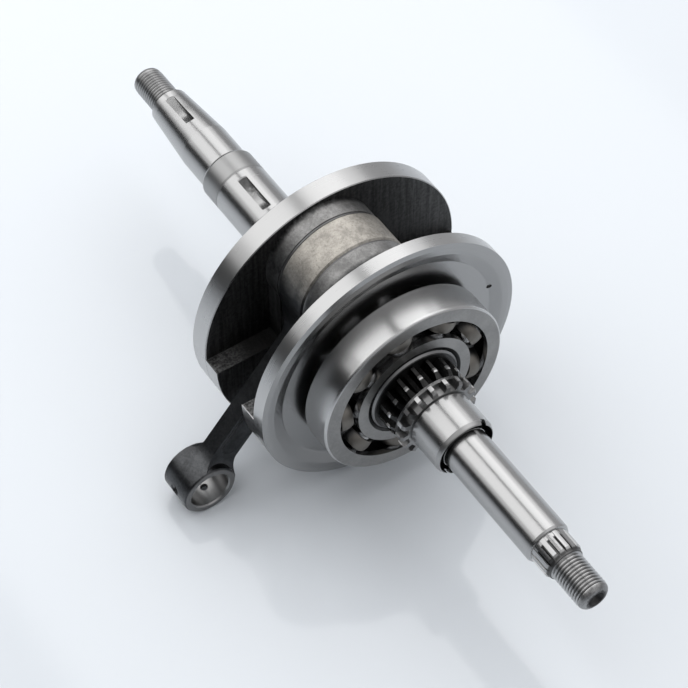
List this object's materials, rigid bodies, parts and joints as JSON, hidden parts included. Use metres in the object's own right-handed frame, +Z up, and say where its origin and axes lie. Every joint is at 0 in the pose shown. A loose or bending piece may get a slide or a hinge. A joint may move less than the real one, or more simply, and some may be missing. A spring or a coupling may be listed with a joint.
{
  "type": "crankshaft",
  "caption": "Built-up single-cylinder crankshaft: counterweighted webs, connecting rod on a needle bearing, ball main bearing, timing sprocket, splined and tapered threaded ends.",
  "frame": {"origin": "centre of the drive-side main bearing, on the crank axis", "axes": "+X along the crank axis towards the splined drive end, +Z up as the crank lies on a bench"},
  "size_m": [0.2759, 0.1272, 0.103],
  "materials": {
    "web_steel": "turned and ground steel, forged black inside the webs",
    "ground_steel": "ground and hardened",
    "washer_steel": "plain",
    "rod_steel": "dark forging, ground faces",
    "cage_steel": "pressed sheet",
    "bearing_steel": "ground and polished",
    "gear_steel": "black oxide with bright tips",
    "bright_steel": "bright turned"
  },
  "bodies": {
    "bearing_outer": {"main_bearing_outer_ring": "bearing_steel"},
    "crank": {"flywheel_half": "web_steel", "drive_half": "web_steel", "crank_pin": "ground_steel", "thrust_washer_flywheel_side": "washer_steel", "thrust_washer_drive_side": "washer_steel", "main_bearing_inner_ring": "bearing_steel", "oil_pump_gear": "gear_steel", "timing_sprocket": "bright_steel", "seal_collar": "bright_steel"},
    "ball_set": {"main_bearing_cage_back": "cage_steel", "main_bearing_cage_front": "cage_steel", "main_bearing_cage_rivets": "cage_steel", "main_bearing_ball_1": "ground_steel", "main_bearing_ball_2": "ground_steel", "main_bearing_ball_3": "ground_steel", "main_bearing_ball_4": "ground_steel", "main_bearing_ball_5": "ground_steel", "main_bearing_ball_6": "ground_steel", "main_bearing_ball_7": "ground_steel", "main_bearing_ball_8": "ground_steel", "main_bearing_ball_9": "ground_steel"},
    "rod": {"connecting_rod": "rod_steel"},
    "needle_set": {"big_end_cage": "cage_steel", "big_end_needle_1": "ground_steel", "big_end_needle_2": "ground_steel", "big_end_needle_3": "ground_steel", "big_end_needle_4": "ground_steel", "big_end_needle_5": "ground_steel", "big_end_needle_6": "ground_steel", "big_end_needle_7": "ground_steel", "big_end_needle_8": "ground_steel", "big_end_needle_9": "ground_steel", "big_end_needle_10": "ground_steel", "big_end_needle_11": "ground_steel", "big_end_needle_12": "ground_steel", "big_end_needle_13": "ground_steel", "big_end_needle_14": "ground_steel"}
  },
  "joints": [
    {"name": "crank_turn", "type": "hinge", "parent": "bearing_outer", "child": "crank", "pos_m": [0, 0, 0], "axis": [1, 0, 0], "continuous": true},
    {"name": "ball_set_turn", "type": "hinge", "parent": "bearing_outer", "child": "ball_set", "pos_m": [0, 0, 0], "axis": [1, 0, 0], "continuous": true},
    {"name": "rod_swing", "type": "hinge", "parent": "crank", "child": "rod", "pos_m": [-0.02893, -0.00527, 0.02842], "axis": [1, 0, 0], "continuous": true},
    {"name": "needle_set_turn", "type": "hinge", "parent": "crank", "child": "needle_set", "pos_m": [-0.02893, -0.00527, 0.02842], "axis": [1, 0, 0], "continuous": true}
  ],
  "couplings": [
    {"joint": "ball_set_turn", "follows": "crank_turn", "ratio": 0.39615},
    {"joint": "needle_set_turn", "follows": "rod_swing", "ratio": 0.56863}
  ]
}
